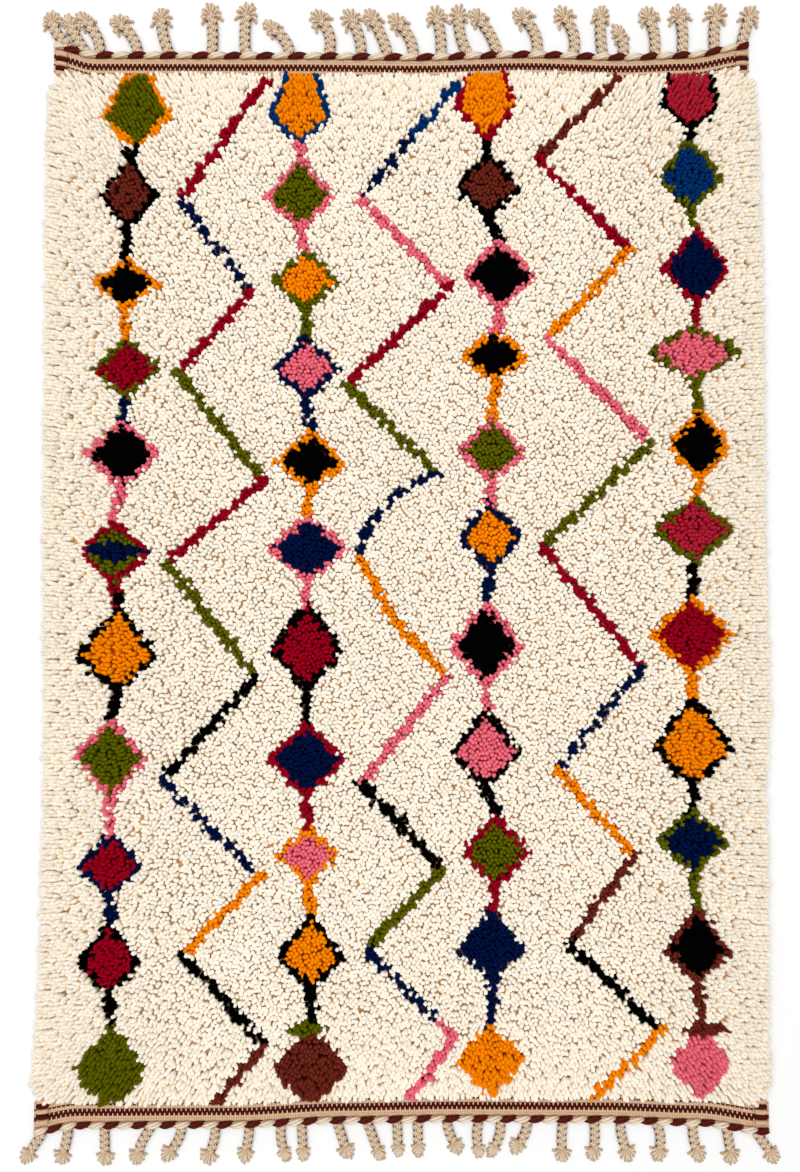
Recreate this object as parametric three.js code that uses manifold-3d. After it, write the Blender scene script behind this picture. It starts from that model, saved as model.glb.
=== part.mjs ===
// A small hand-knotted shag rug, lying flat: a deep wool pile, a flat-woven band at each end,
// and a twined cord outside each band from which the plaited warp ends fan out as a fringe.
// Millimetres, +Z up. The origin is on the underside, at the middle of the rug; +Y is the far end.
import * as THREE from "three";
import { mergeVertices } from "three/addons/utils/BufferGeometryUtils.js";
import Module from "manifold-3d";

const wasm = await Module();
wasm.setup();

// Driving dimensions of the woven body
const RUG_WIDTH = 1000;
const CELLS_ACROSS = 28;
const CELL = RUG_WIDTH / CELLS_ACROSS;
const PIECE_GAP = 0.3;

// Pile: tufts knotted on a foundation, so the slab overhangs the ground that it is knotted to
const PILE_HEIGHT = 24;
const FOUNDATION_INSET = 6;
const FOUNDATION_HEIGHT = 6.5;
const PILE_ROW = 36;
const REST_FACE = [
  { x: 0, y: 650 },
  { x: 420, y: -600 },
  { x: -420, y: -600 },
];
const LOCKS_PER_CELL = 3;
const LOCK_REACH = 10;
const LOCK_VALLEY = 3.5;
const LOCK_TIP_Z = 11;
const LOCK_VALLEY_Z = 15;
const LOCK_UNEVEN = 2.5;
const SHOULDER_INSET = 5;
const SHOULDER_DROP = 3;
const LUMP_HEIGHT = 2.2;
const LUMP_LENGTH = 96;

// Flat-woven end bands
const BAND_DEPTH = 29;
const BAND_THICKNESS = 4;
const RIB_RELIEF = 0.8;
const SELVEDGE_WRAP_RELIEF = 1.6;

// Twined cord: two strands, one turn to each pitch
const CORD_WIDTH = 14;
const CORD_HEIGHT = 11;
const CORD_STEP = CELL / 3;
const CORD_PITCH = 4 * CORD_STEP;
const CORD_STRAND_RELIEF = 0.16;

// Plaited fringe: a braid, a tie at its neck, and a head of loose ends
const FAR_BRAID_WIDTH = 17;
const NEAR_BRAID_WIDTH = 14.5;
const BRAID_HEIGHT = 12;
const BRAID_LOBE = 9;
const BRAID_SWAY = 0.09;
const ROOT_WIDTH = 12;
const ROOT_DEPTH = 3;
const NECK_WIDTH = 11;
const NECK_HEIGHT = 9;
const HEAD_LENGTH = 20;
const HEAD_LOCKS = 3;
const HEAD_LOCK_GAP = 1.2;
const HEAD_LOCK_ROOT = 2.4;
const HEAD_LOCK_HEIGHT = 9;

// Where the cord's centre line runs at each end: the weave is pulled out at its corners.
const FAR_LINE = [
  { x: -500, y: 763 },
  { x: -440, y: 749 },
  { x: -160, y: 748 },
  { x: 20, y: 746 },
  { x: 180, y: 750 },
  { x: 320, y: 746 },
  { x: 410, y: 749 },
  { x: 500, y: 763 },
];
const NEAR_LINE = [
  { x: -500, y: -755 },
  { x: -440, y: -747 },
  { x: -230, y: -746 },
  { x: -80, y: -740 },
  { x: 60, y: -738 },
  { x: 270, y: -739 },
  { x: 400, y: -743 },
  { x: 500, y: -755 },
];

// How far the long sides bow outwards, at places along the rug's length
const LEFT_BOW = [
  { x: -712, y: 0 },
  { x: -600, y: -9 },
  { x: -480, y: -12 },
  { x: -230, y: -12 },
  { x: 0, y: -7 },
  { x: 250, y: -3 },
  { x: 520, y: 0 },
  { x: 712, y: 0 },
];
const RIGHT_BOW = [
  { x: -712, y: 0 },
  { x: -640, y: -6 },
  { x: -480, y: -4 },
  { x: -300, y: -3 },
  { x: -180, y: 4 },
  { x: 60, y: 3 },
  { x: 380, y: 6 },
  { x: 600, y: 4 },
  { x: 712, y: 0 },
];

// One row for each braid. root: place along the rug's width. lean: how far the head lies to the
// right of the root. reach: from the cord's centre line to the tip. bow: how far the middle bows
// to the right. head: width of the loose ends.
const FAR_BRAIDS = [
  { root: -478, lean: -36, reach: 56, bow: -4, head: 28 },
  { root: -453, lean: -33, reach: 59, bow: -2, head: 20 },
  { root: -434, lean: -28, reach: 69, bow: 6, head: 22 },
  { root: -380, lean: -33, reach: 64, bow: 6, head: 28 },
  { root: -333, lean: -18, reach: 73, bow: -3, head: 28 },
  { root: -273, lean: -2, reach: 80, bow: 2, head: 30 },
  { root: -224, lean: 1, reach: 81, bow: -2, head: 31 },
  { root: -161, lean: -33, reach: 58, bow: 6, head: 21 },
  { root: -106, lean: -13, reach: 73, bow: 8, head: 30 },
  { root: -58, lean: -18, reach: 74, bow: 4, head: 28 },
  { root: -19, lean: -29, reach: 75, bow: 2, head: 25 },
  { root: 17, lean: -28, reach: 69, bow: 6, head: 25 },
  { root: 57, lean: -7, reach: 78, bow: 2, head: 30 },
  { root: 96, lean: -18, reach: 78, bow: -4, head: 25 },
  { root: 138, lean: -34, reach: 72, bow: 4, head: 25 },
  { root: 194, lean: -23, reach: 74, bow: 8, head: 28 },
  { root: 247, lean: -15, reach: 77, bow: 7, head: 30 },
  { root: 290, lean: -3, reach: 79, bow: -2, head: 25 },
  { root: 318, lean: -4, reach: 52, bow: 3, head: 20 },
  { root: 364, lean: -9, reach: 77, bow: 4, head: 29 },
  { root: 403, lean: -2, reach: 77, bow: 3, head: 30 },
  { root: 451, lean: 4, reach: 73, bow: -2, head: 31 },
  { root: 489, lean: 18, reach: 62, bow: 0, head: 28 },
];
const NEAR_BRAIDS = [
  { root: -487, lean: -27, reach: 44, bow: 0, head: 24 },
  { root: -453, lean: -9, reach: 53, bow: 1, head: 25 },
  { root: -404, lean: 2, reach: 55, bow: 0, head: 26 },
  { root: -339, lean: -27, reach: 52, bow: -2, head: 25 },
  { root: -299, lean: -19, reach: 51, bow: 3, head: 24 },
  { root: -253, lean: -10, reach: 55, bow: 2, head: 27 },
  { root: -207, lean: -6, reach: 52, bow: 1, head: 25 },
  { root: -163, lean: 3, reach: 54, bow: -2, head: 20 },
  { root: -136, lean: 3, reach: 54, bow: 0, head: 20 },
  { root: -88, lean: 17, reach: 53, bow: 0, head: 25 },
  { root: -47, lean: 20, reach: 56, bow: 0, head: 20 },
  { root: -6, lean: 2, reach: 52, bow: 0, head: 18 },
  { root: 22, lean: 1, reach: 52, bow: 0, head: 20 },
  { root: 62, lean: 14, reach: 50, bow: -2, head: 24 },
  { root: 106, lean: -4, reach: 54, bow: -2, head: 18 },
  { root: 134, lean: -9, reach: 54, bow: 3, head: 18 },
  { root: 171, lean: -15, reach: 49, bow: 3, head: 25 },
  { root: 220, lean: -3, reach: 59, bow: -1, head: 26 },
  { root: 262, lean: 0, reach: 57, bow: 1, head: 24 },
  { root: 298, lean: 9, reach: 57, bow: -2, head: 25 },
  { root: 346, lean: 8, reach: 55, bow: 3, head: 25 },
  { root: 397, lean: 5, reach: 54, bow: -2, head: 25 },
  { root: 442, lean: 8, reach: 52, bow: 0, head: 26 },
  { root: 482, lean: 28, reach: 43, bow: 0, head: 24 },
];

const wool = (color, roughness) => new THREE.MeshStandardMaterial({ color, roughness, metalness: 0 });
const IVORY_PILE = wool(0xf3ead8, 0.95);
const SAND_WEAVE = wool(0xd9b893, 0.9);
const SAND_CORD = wool(0xd8bf9c, 0.9);

// A table's y at x, eased between its rows
function eased(table, x) {
  const last = table.length - 1;
  const after = table.findIndex((row) => row.x > x);
  const i = after < 0 ? last : Math.max(after, 1);
  const [a, b] = [table[i - 1], table[i]];
  const share = THREE.MathUtils.clamp((x - a.x) / (b.x - a.x), 0, 1);
  return THREE.MathUtils.lerp(a.y, b.y, THREE.MathUtils.smoothstep(share, 0, 1));
}

// The end line's y at x: straight across each cell, so that the pieces along it share one edge
function endLine(table, x) {
  const cell = Math.floor(x / CELL + 1e-6);
  const [start, end] = [cell * CELL, (cell + 1) * CELL];
  return THREE.MathUtils.mapLinear(x, start, end, eased(table, start), eased(table, end));
}

// A slow, uneven swell between -1 and 1, for the pile's lumps and its wandering edge
function swell(x, y) {
  const k = (2 * Math.PI) / LUMP_LENGTH;
  const long = Math.sin(k * (x + 0.6 * y)) * Math.cos(k * (0.8 * y - 0.3 * x) + 1);
  const short = Math.sin(2.3 * k * x + 2) * Math.sin(2.1 * k * y + 0.7 * Math.sin(k * x));
  return 0.55 * long + 0.45 * short;
}

// A closed geometry from points and triangles of their indices
function geometryOf(points, triangles) {
  const geometry = new THREE.BufferGeometry().setFromPoints(points);
  return geometry.setIndex(triangles.flat());
}

// Triangles that close an upright section, whose first and last points are its feet
function capOf(section) {
  const foot = section[0];
  const base = section.at(-1).clone().sub(foot).normalize();
  const flat = section.map((point) => new THREE.Vector2(point.clone().sub(foot).dot(base), point.z));
  return THREE.ShapeUtils.triangulateShape(flat, []);
}

// A closed loft through upright sections of equally many points, each anticlockwise from its front
function loft(sections) {
  const n = sections[0].length;
  const triangles = [];
  for (let s = 0; s + 1 < sections.length; s++) {
    for (let i = 0; i < n; i++) {
      const [a, b] = [s * n + i, s * n + ((i + 1) % n)];
      triangles.push([a, b, b + n], [a, b + n, a + n]);
    }
  }
  const end = (sections.length - 1) * n;
  triangles.push(...capOf(sections[0]));
  triangles.push(...capOf(sections.at(-1)).map(([a, b, c]) => [end + a, end + c, end + b]));
  return geometryOf(sections.flat(), triangles);
}

function solidOf(geometry) {
  const merged = mergeVertices(geometry);
  return new wasm.Manifold(
    new wasm.Mesh({
      numProp: 3,
      vertProperties: merged.attributes.position.array,
      triVerts: new Uint32Array(merged.index.array),
    }),
  );
}

// One geometry of all the pieces, fused where they meet
function fused(geometries) {
  const mesh = geometries.map(solidOf).reduce((whole, piece) => whole.add(piece)).getMesh();
  return new THREE.BufferGeometry()
    .setAttribute("position", new THREE.BufferAttribute(mesh.vertProperties, 3))
    .setIndex(new THREE.BufferAttribute(mesh.triVerts, 1));
}

// Pile

// A point of the ground that the pile is knotted to, for a share of its width and of its length
function pileGround(across, along) {
  const halfWidth = RUG_WIDTH / 2 - FOUNDATION_INSET;
  const x = THREE.MathUtils.clamp((across - 0.5) * RUG_WIDTH, -halfWidth, halfWidth);
  const toCord = CORD_WIDTH / 2 + BAND_DEPTH + 2 * PIECE_GAP;
  const far = endLine(FAR_LINE, x) - toCord;
  const near = endLine(NEAR_LINE, x) + toCord;
  const y = THREE.MathUtils.lerp(near, far, along);
  const inside = along > 0 && along < 1;
  const bow = inside ? eased(x < 0 ? LEFT_BOW : RIGHT_BOW, y) : 0;
  return new THREE.Vector2(x * (1 + bow / halfWidth), y);
}

// Shares round the edge of a grid of columns by rows, anticlockwise, with the outward way there
function edgeOfGrid(columns, rows, finer) {
  const side = (cells, at, outward) => {
    const count = cells * finer;
    return Array.from({ length: count }, (_, i) => ({ share: at(i / count), outward, corner: i === 0 }));
  };
  const edge = [
    ...side(columns, (t) => [t, 0], [0, -1]),
    ...side(rows, (t) => [1, t], [1, 0]),
    ...side(columns, (t) => [1 - t, 1], [0, 1]),
    ...side(rows, (t) => [0, 1 - t], [-1, 0]),
  ];
  edge.forEach((point, i) => {
    const before = edge.at(i - 1).outward;
    const way = new THREE.Vector2(...point.outward);
    point.way = point.corner ? way.add(new THREE.Vector2(...before)).normalize() : way;
  });
  return edge;
}

// Triangles between a ring and one with several times as many points outside it
function stitch(ring, finerRing, finer, outerIsBelow) {
  const triangles = [];
  ring.forEach((a, i) => {
    const b = ring[(i + 1) % ring.length];
    const half = Math.ceil(finer / 2);
    for (let k = 0; k < finer; k++) {
      const [p, q] = [finerRing[i * finer + k], finerRing[(i * finer + k + 1) % finerRing.length]];
      triangles.push([k < half ? a : b, p, q]);
      if (k === half - 1) triangles.push([a, q, b]);
    }
  });
  return outerIsBelow ? triangles : triangles.map(([a, b, c]) => [a, c, b]);
}

// A lumpy slab whose rim stands out in locks, and whose underside has one large face to rest on
function pileGeometry() {
  const columns = CELLS_ACROSS;
  const rows = Math.round((FAR_LINE[0].y - NEAR_LINE[0].y) / PILE_ROW);
  const points = [];
  const add = (flat, z) => points.push(new THREE.Vector3(flat.x, flat.y, z)) - 1;

  const topOf = (across, along) => {
    const flat = pileGround(across, along);
    const rim = Math.min(across * columns, (1 - across) * columns, along * rows, (1 - along) * rows) < 0.5;
    const lump = LUMP_HEIGHT * (swell(flat.x, flat.y) - 1);
    return add(flat, PILE_HEIGHT + lump - (rim ? SHOULDER_DROP : 0));
  };
  const top = [];
  for (let r = 0; r <= rows; r++) {
    top.push(Array.from({ length: columns + 1 }, (_, c) => topOf(c / columns, r / rows)));
  }
  const triangles = [];
  for (let r = 0; r < rows; r++) {
    for (let c = 0; c < columns; c++) {
      const [a, b, d, e] = [top[r][c], top[r][c + 1], top[r + 1][c + 1], top[r + 1][c]];
      triangles.push([a, b, d], [a, d, e]);
    }
  }

  const coarse = edgeOfGrid(columns, rows, 1);
  const ringAt = (z) => coarse.map(({ share }) => add(pileGround(...share), z));
  const topRing = coarse.map(({ share: [u, v] }) => top[Math.round(v * rows)][Math.round(u * columns)]);
  for (const [i, { way }] of coarse.entries()) {
    const shoulder = points[topRing[i]];
    shoulder.x -= way.x * SHOULDER_INSET;
    shoulder.y -= way.y * SHOULDER_INSET;
  }

  const finer = 2 * LOCKS_PER_CELL;
  const tips = edgeOfGrid(columns, rows, finer).map(({ share, way }, i) => {
    const flat = pileGround(...share);
    const isTip = i % 2 === 0;
    const out = (isTip ? LOCK_REACH : LOCK_VALLEY) + LOCK_UNEVEN * swell(3 * flat.x, 3 * flat.y);
    return add(flat.addScaledVector(way, out), isTip ? LOCK_TIP_Z : LOCK_VALLEY_Z);
  });
  const ground = ringAt(FOUNDATION_HEIGHT);
  const underside = ringAt(0);

  triangles.push(...stitch(topRing, tips, finer, true), ...stitch(ground, tips, finer, false));
  const n = ground.length;
  for (let i = 0; i < n; i++) {
    const j = (i + 1) % n;
    triangles.push([ground[i], underside[i], underside[j]], [ground[i], underside[j], ground[j]]);
  }

  const restFace = REST_FACE.map((corner) => add(corner, 0));
  const flatRing = (ring) => ring.map((i) => new THREE.Vector2(points[i].x, points[i].y));
  const beneath = [...underside, ...restFace];
  for (const [a, b, c] of THREE.ShapeUtils.triangulateShape(flatRing(underside), [flatRing(restFace)])) {
    triangles.push([beneath[a], beneath[c], beneath[b]]);
  }
  triangles.push(restFace);
  return geometryOf(points, triangles);
}

// End bands, cords and fringe. outward is 1 at the far end and -1 at the near end.

// Places across the rug's width, a step apart
function placesAcross(step) {
  const count = Math.round(RUG_WIDTH / step);
  return Array.from({ length: count + 1 }, (_, i) => (i / count - 0.5) * RUG_WIDTH);
}

// A section across an end strip: offsets from the cord's centre line, positive towards the rug
function stripSection(line, outward, x, profile) {
  const middle = endLine(line, x);
  const points = profile.map(({ inwards, z }) => new THREE.Vector3(x, middle - outward * inwards, z));
  return outward > 0 ? points : points.reverse();
}

// The band: flat beneath, with a low rib for each stripe of weft, and the weft wrapped in
// ridges round its outermost warps at both ends
function bandGeometry(line, outward) {
  const start = CORD_WIDTH / 2 + PIECE_GAP;
  const stripes = [0, 0.15, 0.3, 0.5, 0.7, 0.85, 1];
  const places = placesAcross(CELL);
  const sections = places.map((x, place) => {
    const isWrapped = Math.min(place, places.length - 1 - place) < 2;
    const relief = isWrapped ? SELVEDGE_WRAP_RELIEF : RIB_RELIEF;
    const top = stripes.map((share, i) => ({
      inwards: start + share * BAND_DEPTH,
      z: BAND_THICKNESS - (i % 2 === 0 ? relief : 0),
    }));
    const feet = [start, start + BAND_DEPTH].map((inwards) => ({ inwards, z: 0 }));
    return stripSection(line, outward, x, [feet[0], ...top, feet[1]]);
  });
  return loft(sections);
}

// The cord: flat where it lies, with its two strands standing out in turn along its length
function cordGeometry(line, outward) {
  const sides = [
    { across: -0.7, up: 0, turn: 0 },
    { across: -1, up: 0.29, turn: 0 },
    { across: -0.66, up: 0.86, turn: 0.25 },
    { across: 0, up: 1, turn: 0.5 },
    { across: 0.66, up: 0.86, turn: 0.75 },
    { across: 1, up: 0.29, turn: 1 },
    { across: 0.7, up: 0, turn: 1 },
  ];
  const sections = placesAcross(CORD_STEP).map((x) => {
    const profile = sides.map(({ across, up, turn }) => {
      const strand = Math.abs(Math.sin(Math.PI * (turn - (2 * x) / CORD_PITCH)));
      const size = 1 - CORD_STRAND_RELIEF * (1 - strand);
      return { inwards: (across * CORD_WIDTH * size) / 2, z: up * CORD_HEIGHT * size };
    });
    return stripSection(line, outward, x, profile);
  });
  return loft(sections);
}

// A four-sided section that lies flat on the floor, set across a way in the plane
function strandSection(at, way, width, height, sway) {
  const right = new THREE.Vector2(way.y, -way.x);
  const corner = (share, z) => {
    const flat = at.clone().addScaledVector(right, share * width);
    return new THREE.Vector3(flat.x, flat.y, z);
  };
  const [foot, crown] = [0.5, 0.3];
  return [
    corner(-foot + sway, 0),
    corner(-crown + 2 * sway, height),
    corner(crown + 2 * sway, height),
    corner(foot + sway, 0),
  ];
}

// A braid's middle line in the plane, from inside the cord to its neck
function braidCurve(row, line, outward) {
  const { root, lean, reach, bow } = row;
  const foot = endLine(line, root) + outward * ROOT_DEPTH;
  const tip = endLine(line, root) + outward * reach;
  const neckShare = 1 - HEAD_LENGTH / Math.hypot(lean, reach);
  const neck = new THREE.Vector2(root + lean * neckShare, THREE.MathUtils.lerp(foot, tip, neckShare));
  const middle = new THREE.Vector2((root + neck.x) / 2 + 2 * bow, (foot + neck.y) / 2);
  return new THREE.QuadraticBezierCurve(new THREE.Vector2(root, foot), middle, neck);
}

// The braid, whose lobes sway from side to side, drawn in at the root and the tie
function braidGeometry(curve, braidWidth) {
  const lobes = Math.max(3, Math.round(curve.getLength() / BRAID_LOBE));
  const sections = [];
  for (let i = 0; i <= lobes; i++) {
    const [isRoot, isNeck] = [i === 0, i === lobes];
    const width = isRoot ? ROOT_WIDTH : isNeck ? NECK_WIDTH : braidWidth;
    const height = isNeck ? NECK_HEIGHT : isRoot ? CORD_HEIGHT - ROOT_DEPTH : BRAID_HEIGHT;
    const sway = isRoot || isNeck ? 0 : BRAID_SWAY * (i % 2 ? 1 : -1);
    const at = curve.getPoint(i / lobes);
    sections.push(strandSection(at, curve.getTangent(i / lobes), width, height, sway));
  }
  return loft(sections);
}

// The locks of a head, spread like a fan from the tie
function headGeometries(row, curve) {
  const neck = curve.getPoint(1);
  const way = curve.getTangent(1);
  const right = new THREE.Vector2(way.y, -way.x);
  const lockPitch = row.head / HEAD_LOCKS;
  return Array.from({ length: HEAD_LOCKS }, (_, i) => {
    const side = i - (HEAD_LOCKS - 1) / 2;
    const rootPitch = HEAD_LOCK_ROOT + HEAD_LOCK_GAP / 2;
    const root = neck.clone().addScaledVector(right, side * rootPitch).addScaledVector(way, -ROOT_DEPTH);
    const tip = neck.clone().addScaledVector(right, side * lockPitch).addScaledVector(way, HEAD_LENGTH);
    return loft([
      strandSection(root, way, HEAD_LOCK_ROOT, 0.6 * NECK_HEIGHT, 0),
      strandSection(tip, way, lockPitch - HEAD_LOCK_GAP, HEAD_LOCK_HEIGHT, 0),
    ]);
  });
}

function fringeGeometry(braids, braidWidth, line, outward) {
  const strands = braids.flatMap((row) => {
    const curve = braidCurve(row, line, outward);
    return [braidGeometry(curve, braidWidth), ...headGeometries(row, curve)];
  });
  return fused([cordGeometry(line, outward), ...strands]);
}

const rug = new THREE.Group();

function addPiece(name, geometry, material) {
  const piece = new THREE.Mesh(geometry, material);
  piece.name = name;
  rug.add(piece);
}

addPiece("pile_field", pileGeometry(), IVORY_PILE);
addPiece("end_band_far", bandGeometry(FAR_LINE, 1), SAND_WEAVE);
addPiece("end_band_near", bandGeometry(NEAR_LINE, -1), SAND_WEAVE);
addPiece("fringe_far", fringeGeometry(FAR_BRAIDS, FAR_BRAID_WIDTH, FAR_LINE, 1), SAND_CORD);
addPiece("fringe_near", fringeGeometry(NEAR_BRAIDS, NEAR_BRAID_WIDTH, NEAR_LINE, -1), SAND_CORD);

export default rug;
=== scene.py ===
import math

import bmesh
import bpy
import numpy as np
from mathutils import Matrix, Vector


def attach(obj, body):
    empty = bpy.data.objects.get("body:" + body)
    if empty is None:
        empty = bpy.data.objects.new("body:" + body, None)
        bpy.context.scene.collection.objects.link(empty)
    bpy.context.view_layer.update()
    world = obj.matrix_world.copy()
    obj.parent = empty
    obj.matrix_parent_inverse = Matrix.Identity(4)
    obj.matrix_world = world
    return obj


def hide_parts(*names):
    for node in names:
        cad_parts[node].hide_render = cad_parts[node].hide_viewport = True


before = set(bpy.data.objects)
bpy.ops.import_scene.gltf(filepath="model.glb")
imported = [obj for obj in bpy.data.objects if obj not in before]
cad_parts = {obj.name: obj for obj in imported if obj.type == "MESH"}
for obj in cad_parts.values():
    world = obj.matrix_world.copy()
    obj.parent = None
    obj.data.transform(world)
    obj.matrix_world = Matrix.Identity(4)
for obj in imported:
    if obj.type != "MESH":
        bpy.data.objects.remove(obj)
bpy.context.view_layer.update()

MM = 0.001
BODY = "root"
rng = np.random.default_rng(41)

# Sizes of the woven body, as in the solids
RUG_WIDTH = 1000 * MM
BAND_DEPTH = 29 * MM
BAND_THICKNESS = 4 * MM
CORD_WIDTH = 14 * MM
CORD_HEIGHT = 11 * MM
CORD_LENGTH = 996 * MM
GROUND_INSET = 6 * MM
GROUND_THICKNESS = 5 * MM

# A face lies level, or is on the upper side, where its normal points up or down by more than this
LEVEL_NORMAL = 0.5
UPPER_NORMAL = 0.1

# Knots and tufts
KNOT_PITCH = 5.85 * MM
KNOT_ROW = 5.05 * MM
KNOT_JITTER = 0.1
SIDE_KNOT_INSET = 4 * MM
FAR_KNOT_INSET = 9 * MM
NEAR_KNOT_INSET = 8 * MM
CORNER_CUT = 33 * MM
TUFT_ROOT_Z = 3.5 * MM
TUFT_LENGTH = 22 * MM
TUFT_LENGTH_UNEVEN = 0.08
TUFT_RADIUS = 3.5 * MM
TUFT_RADIUS_UNEVEN = 0.1
TUFTS_PER_PIECE = 9500
LUMP_HEIGHT = 1.2 * MM
LUMP_LENGTH = 96 * MM
PACKED_HEIGHT = 13.5 * MM
PACKED_RISE_WIDTH = 70 * MM
PACKED_CELL = 10 * MM
BARE_RISE = 0.25
BARE_GROUND = "DEC6A2"
HIDDEN_GROUND = "CFA878"

# A tuft's belly and shoulder, each as (share of its radius, share of its length)
TUFT_BELLY = (0.95, 0.52)
TUFT_SHOULDER = (0.9, 0.9)

# How the tufts lean, as a run for each unit of rise, and how far in from the edge it lasts
SWIRL_LEAN = 0.45
SWIRL_STRAY = 0.2
EDDY_LENGTH = 62 * MM
SIDE_LEAN = 1.0
SIDE_LEAN_WIDTH = 220 * MM
RIM_LEAN = 1.5
RIM_LEAN_WIDTH = 22 * MM
END_LEAN = 0.7
END_LEAN_WIDTH = 160 * MM
FAR_RIM_LEAN = 1.3
NEAR_RIM_LEAN = 0.8

# How much calmer the eddies are at the sides, at the ends and in the strip along the rim
SIDE_CALM = 0.4
END_CALM = 0.6
RIM_CALM_WIDTH = 25 * MM
RIM_CALM_LEAST = 0.4

# The locks that the rim's tufts are drawn into: how far apart they lie, and how far each reaches out
LOCK_PITCH = 18 * MM
LOCK_DRIFT = 1.5
LOCK_REACH = 0.5
LOCK_DRAW = 0.15
LOCK_UNEVEN = 0.5
LOCK_FINENESS = (4, 5)
LOCK_STRAY = 0.12

# Light and dark from tuft to tuft, over the rug, and towards its sides
TONE_STRAY = 0.035
TONE_SWELL = 0.02
TONE_FINENESS = 0.3
SIDE_SHADE = 0.07

# Drawing of the pattern. Its edges and breaks are swells as much finer than the lumps as stated, in x and y.
ZIGZAG_WIDTH = 12.5 * MM
LINK_WIDTH = 14 * MM
OUTLINE_WIDTH = 7.5 * MM
PATTERN_WOBBLE = 2.0 * MM
RAGGED_EDGE = 4.0 * MM
RAGGED_FINENESS = (4.6, 5.2)
ZIGZAG_WOBBLE = 2.5 * MM
ZIGZAG_RAGGED = 0.85
BREAK_FINENESS = (2.7, 3.1)
BREAK_SHIFT = 400 * MM
LOZENGE_FULLNESS = 1.08

# Yarns of the cords. A tone of painted light runs from 0, painted shade deep in a groove, to 1, a painted
# highlight on the highest turn.
YARN_SIDES = 5
YARN_CAP = 0.6
CORD_STEPS = 11
CORD_SIDE_OFF = 0.9 * MM
CORD_RISE_OFF = 1.9 * MM
CORD_YARN_OFF = 3.0 * MM
CORD_YARNS = 4
CORD_YARN_RADIUS = 2.1 * MM
CORD_YARN_LEAST = 0.55
CORD_DRAWN_IN = 0.3
CORD_TWIST = 0.5
CORD_FLATNESS = 0.75
CORD_TONE = 0.48
CORD_TONE_HEIGHT = 6 * MM

# Plaits: their heights in yarn radii, their cycle in plait widths, the start of their turns in radians
BRAID_ROOT_OUT = 3 * MM
BRAID_PATH_POINTS = 9
BRAID_YARNS_ACROSS = 12.5
PLAIT_STEPS = 10
PLAIT_LEAST_POINTS = 8
PLAIT_CYCLE = 1.7
PLAIT_LATEST_START = 6
PLAIT_LEAST = 0.7
PLAIT_SWELL = 3
PLAIT_NECK = 0.06
PLAIT_HEIGHT = 3.8
PLAIT_RISE = 2.0
PLAIT_TONE = 0.42
PLAIT_TONE_RISE = 0.75
PLAIT_TONE_EDGE = 0.1
STRAND_ROUNDING = 0.3

# Loose ends beyond the plaits, with their heights in yarn radii
HEAD_LENGTH = 20 * MM
HEAD_YARNS = 15
HEAD_TUCK = 5 * MM
HEAD_STEPS = 5
HEAD_HALF_SHARE = 0.54
HEAD_STRAY = 0.05
HEAD_REACH = (0.92, 1.06)
HEAD_UPPER_REACH = 0.84
HEAD_YARN_SWELL = (0.8, 1.55)
HEAD_FIRST_STEP = 0.05
HEAD_TURN_LEAST = 0.55
HEAD_HEIGHT = 1.6
HEAD_UPPER_LIFT = 0.4
HEAD_UPPER_RISE = 1.4
HEAD_TONE = 0.05
HEAD_TONE_RISE = 0.65
HEAD_UPPER_TONE = 0.25

# Flat-woven bands: rows of weft beads from the cord to the pile, as (colour, height). On a left or
# right row every other warp is brown, so that the two rows of teeth lock into each other.
BAND_ROWS = (
    ("sand", 4.4), ("sand", 3.6), ("left", 4.4), ("brown", 1.0), ("right", 4.4),
    ("sand", 4.4), ("left", 2.4), ("sand", 4.2), ("sand", 4.2),
)
BAND_TUCK = 4 * MM
WARP_PITCH = 3.2 * MM
BEAD_INSET = 0.3 * MM
STRIPE_GAP_INSET = 0.55 * MM
BEAD_RISE = 0.9 * MM
TOOTH_POINT = 0.75

# Selvedge wraps at each corner, from the cord to the pile: a b for a brown one, an s for a sand one
CORNER_WRAPS = "sbsbs"
WRAP_PITCH = 7 * MM
WRAP_START = 0.6
WRAP_WIDTH = 26 * MM
WRAP_RADIUS = 3.5 * MM
WRAP_RISE = 1.6 * MM
WRAP_HALF_TURNS = (-0.15, 1.15)
WRAP_STEPS = 12
WRAP_TONE = 0.8

# Camera: a phone's wide lens, held over the rug a little nearer to its near end
CAMERA_PLACE = Vector((-0.002, -0.077, 1.289))
CAMERA_TILT = math.radians(2.8)
PHOTO_HEIGHT_PX = 1172
FOCAL_LENGTH_PX = 920

# Light: one soft box overhead in a white room, in metres and watts
SOFT_BOX_PLACE = Vector((-0.3, 0.2, 3.6))
SOFT_BOX_SIZE = (5.2, 5.6)
SOFT_BOX_WATTS = 155
ROOM_LIGHT = 0.5
FLOOR_HALF_SIZE = 6.0

# Where the cord's centre line runs at each end, as (x, y)
FAR_LINE = (
    (-500, 763), (-440, 749), (-160, 748), (20, 746), (180, 750), (320, 746), (410, 749), (500, 763),
)
NEAR_LINE = (
    (-500, -755), (-440, -747), (-230, -746), (-80, -740),
    (60, -738), (270, -739), (400, -743), (500, -755),
)

# How far the long sides bow outwards, as (y, bow)
LEFT_BOW = (
    (-712, 0), (-600, -9), (-480, -12), (-230, -12), (0, -7), (250, -3), (520, 0), (712, 0),
)
RIGHT_BOW = (
    (-712, 0), (-640, -6), (-480, -4), (-300, -3), (-180, 4), (60, 3), (380, 6), (600, 4), (712, 0),
)

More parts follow.
